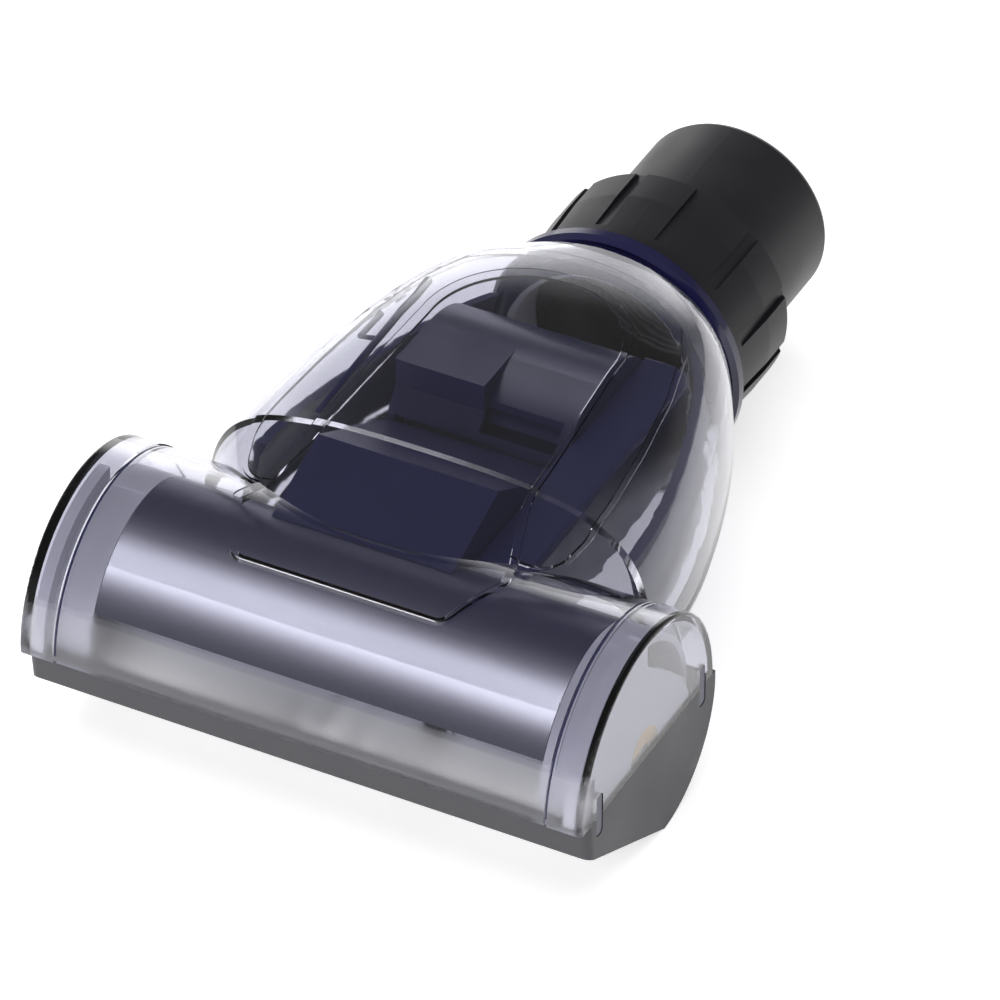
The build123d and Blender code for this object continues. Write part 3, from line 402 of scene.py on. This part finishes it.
# Clear cover and lower shell: clear polycarbonate, injection moulded and polished. The band in
# front of the roll is frosted by an eroded patch in the tool, so the bristles behind it blur.
frost_top = 0.0385                  # upper edge of the frosted band, over the floor
frost_front = -0.0970               # the band lies in front of this
frost_edge = 0.001                  # width in which the frosting fades
frost_rough = 0.42
clear_pc, tree = material_tree("clear_polycarbonate")
place = own_place(tree)
smudges = noise(tree, place, scale=60.0, detail=4.0)
polish = remap(tree, smudges, 0.35, 0.75, 0.02, 0.06)
axes = add_node(tree, "ShaderNodeSeparateXYZ", {"Vector": place})
frost = maths(tree, "MULTIPLY",
              remap(tree, axes.outputs["Z"], frost_top, frost_top - frost_edge),
              remap(tree, axes.outputs["Y"], frost_front + frost_edge, frost_front))
rough = add_node(tree, "ShaderNodeMix", {
    "Factor": frost, "A": polish, "B": frost_rough}, data_type="FLOAT").outputs["Result"]
glass = add_node(tree, "ShaderNodeBsdfPrincipled", {
    "Base Color": blend(tree, frost, "#dddde6", "#f4f4f9"), "Roughness": rough, "IOR": 1.50,
    "Transmission Weight": 1.0})
# the lamps' light passes straight through, as it nearly does through a thin wall
passing = add_node(tree, "ShaderNodeBsdfTransparent", {"Color": srgb("#f2f2f8")})
lamp_ray = add_node(tree, "ShaderNodeLightPath").outputs["Is Shadow Ray"]
both = add_node(tree, "ShaderNodeMixShader", {
    0: lamp_ray, 1: glass.outputs[0], 2: passing.outputs[0]})
add_node(tree, "ShaderNodeOutputMaterial", {"Surface": both.outputs[0]})
dress(clear_pc, "clear_cover", "lower_shell")

# Edge beads: thin navy cords that draw dark lines in the two grooves round the cover's head and
# along the left edge of its raised panel, and two short catches beside that against its inner
# face.
edge_path = ((-0.02800, -0.0403, 0.05935), (-0.02845, -0.0188, 0.05951),
             (-0.02855, -0.0015, 0.05996), (-0.02830, 0.0046, 0.05985),
             (-0.02883, 0.0117, 0.05926))
catch_paths = (
    ((-0.02913, -0.0124, 0.05967), (-0.03284, -0.0122, 0.05869), (-0.03243, -0.0031, 0.05888)),
    ((-0.03436, 0.0065, 0.05612), (-0.03585, 0.0123, 0.05394)))
edge_radius = 0.00075
catch_radius = 0.00055
groove_cord_at = 0.0576                    # the grooves' middles, from the head's middle
groove_cord_ring = 0.02992                 # cord's centre line round the head's axis
groove_cord_radius = 0.00030
groove_cord_angles = np.radians(np.linspace(3.0, 170.0, 61))      # from the front over the top


def bead(path, radius, aside, sides=10, tip=0.6):
    """Round cord along a path: ring i is p_i + radius (s_i cos a + w_i sin a), where s_i is square
    to the path and to the direction aside, and w_i is square to both; each end is a point, tip
    radii beyond the path's own end."""
    path = np.array(path)
    along = np.gradient(path, axis=0)
    along /= np.linalg.norm(along, axis=1)[:, None]
    level = np.cross(along, aside)
    level /= np.linalg.norm(level, axis=1)[:, None]
    rise = np.cross(level, along)
    turn = np.radians(np.arange(sides) * 360.0 / sides)[None, :, None]
    rings = path[:, None] + radius * (level[:, None] * np.cos(turn) + rise[:, None] * np.sin(turn))
    first = np.repeat(path[:1] - radius * tip * along[:1], sides, 0)[None]
    last = np.repeat(path[-1:] + radius * tip * along[-1:], sides, 0)[None]
    return np.concatenate([first, rings, last])


def groove_cord_path(x):
    """Arc round the head's axis: (x, head_y - R cos a, seam_z + R sin a)."""
    return np.stack([x + 0 * groove_cord_angles, head_y - groove_cord_ring * np.cos(groove_cord_angles),
                     seam_z + groove_cord_ring * np.sin(groove_cord_angles)], -1)


up, across = (0.0, 0.0, 1.0), (1.0, 0.0, 0.0)
points, faces = join_grids(
    [bead(edge_path, edge_radius, up)]
    + [bead(path, catch_radius, up) for path in catch_paths]
    + [bead(groove_cord_path(x), groove_cord_radius, across) for x in (-groove_cord_at, groove_cord_at)])
beads = add_piece("cover_edge_beads", points, faces, navy_abs)
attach(beads, "frame")

# Collar and connector: the grip collar, the connector's tube and the ring that holds them. They
# are black ABS with a fine satin finish from the tool.
black_abs, tree = material_tree("moulded_black_abs")
place = own_place(tree)
grain = noise(tree, place, scale=1600.0, detail=3.0)
flow = noise(tree, place, scale=60.0, detail=4.0)
principled(tree, {
    "Base Color": blend(tree, flow, "#212024", "#29282c"),
    "Roughness": remap(tree, flow, *noise_range, 0.34, 0.42),
    "Normal": relief(tree, grain, strength=0.15, depth=0.0001), "IOR": 1.54,
    "Specular IOR Level": 0.2})
dress(black_abs, "grip_collar", "connector_tube", "retaining_ring")

# Studio: softboxes over a wide white floor that keeps the object's shadow. Grey walls stand round
# it under a dim ceiling, with a bright card behind on the left, which the rear of the clear cover
# reflects; the camera itself sees white.
white = (1.0, 1.0, 1.0, 1.0)
paper_grey = (0.8, 0.8, 0.8, 1.0)
floor_half = 6.0
floor_glow = 0.62
card_way = (-0.42, 0.90, 0.10)      # from the object to the card's middle
card_range = (0.85, 0.985)          # how well a direction fits card_way at the card's fading edge
card_light = 2.4
wall_light = 0.42
ceiling_light = 0.16
ceiling_range = (0.25, 0.55)        # the walls fade into the ceiling between these steepnesses
lamps_aim = Vector((0.0, 0.0, 0.03))

floor_mesh = bpy.data.meshes.new("studio_floor")
floor_mesh.from_pydata(
    [(-floor_half, -floor_half, 0), (floor_half, -floor_half, 0),
     (floor_half, floor_half, 0), (-floor_half, floor_half, 0)], [], [(0, 1, 2, 3)])
floor = bpy.data.objects.new("studio_floor", floor_mesh)
bpy.context.scene.collection.objects.link(floor)
white_floor, tree = material_tree("white_paper_floor")
paper = add_node(tree, "ShaderNodeBsdfDiffuse", {"Color": paper_grey})
glow = add_node(tree, "ShaderNodeEmission", {"Color": white, "Strength": floor_glow})
lit = add_node(tree, "ShaderNodeAddShader", {0: paper.outputs[0], 1: glow.outputs[0]})
# the paper glows only where it is seen, also in reflections and through the cover
ray = add_node(tree, "ShaderNodeLightPath").outputs
seen = maths(tree, "MAXIMUM", ray["Is Camera Ray"], ray["Is Glossy Ray"])
seen = maths(tree, "MAXIMUM", seen, ray["Is Transmission Ray"])
both = add_node(tree, "ShaderNodeMixShader", {0: seen, 1: paper.outputs[0], 2: lit.outputs[0]})
add_node(tree, "ShaderNodeOutputMaterial", {"Surface": both.outputs[0]})
floor_mesh.materials.append(white_floor)

world = bpy.data.worlds.new("studio")
bpy.context.scene.world = world
world.use_nodes = True
tree = world.node_tree
tree.nodes.clear()
way = add_node(tree, "ShaderNodeTexCoord").outputs["Generated"]
steepness = add_node(tree, "ShaderNodeSeparateXYZ", {"Vector": way}).outputs["Z"]
fit = add_node(tree, "ShaderNodeVectorMath", {0: way, 1: card_way},
               operation="DOT_PRODUCT").outputs["Value"]
card = remap(tree, fit, *card_range, wall_light, card_light, "SMOOTHSTEP")
walls = remap(tree, steepness, *ceiling_range, card, ceiling_light, "SMOOTHSTEP")
seen = add_node(tree, "ShaderNodeLightPath").outputs["Is Camera Ray"]
background = add_node(tree, "ShaderNodeBackground", {
    "Color": white, "Strength": maths(tree, "MAXIMUM", walls, seen)})
add_node(tree, "ShaderNodeOutputWorld", {"Surface": background.outputs[0]})


def softbox(name, direction, distance, size, power, reflected=True):
    """Rectangular area lamp of (width, height) metres that faces the object."""
    lamp_data = bpy.data.lights.new(name, "AREA")
    lamp_data.shape = "RECTANGLE"
    lamp_data.size = size[0]
    lamp_data.size_y = size[1]
    lamp_data.energy = power
    lamp = bpy.data.objects.new(name, lamp_data)
    lamp.location = lamps_aim + Vector(direction).normalized() * distance
    lamp.rotation_euler = (-Vector(direction)).to_track_quat("-Z", "Y").to_euler()
    lamp.visible_glossy = reflected
    lamp.visible_transmission = reflected
    bpy.context.scene.collection.objects.link(lamp)
    return lamp


def gloss_only(lamp, *names):
    """Shade a lamp off all but the reflections of these CAD nodes."""
    lit = bpy.data.collections.new("lit_by_" + lamp.name)
    for name in names:
        lit.objects.link(nodes[name])
    lamp.light_linking.receiver_collection = lit
    lamp.visible_diffuse = False


# strip lamps that draw the broad bright band along the tunnel and the soft one on the drum
gloss_only(softbox("strip_front", direction=(-0.35, -0.53, 0.77), distance=1.5,
                   size=(1.8, 0.27), power=285.0), "brush_tunnel")
gloss_only(softbox("strip_top", direction=(-0.36, 0.22, 0.90), distance=1.5,
                   size=(1.2, 0.30), power=34.0), "turbine_housing")
# soft light from the front and from the ceiling, without reflections of their own
softbox("front_fill", direction=(-0.25, -0.90, 0.42), distance=2.0, size=(2.4, 1.0), power=24.0,
        reflected=False)
softbox("ceiling", direction=(0.0, 0.0, 1.0), distance=2.2, size=(3.0, 3.0), power=38.0,
        reflected=False)

bpy.context.scene.view_settings.view_transform = "Standard"
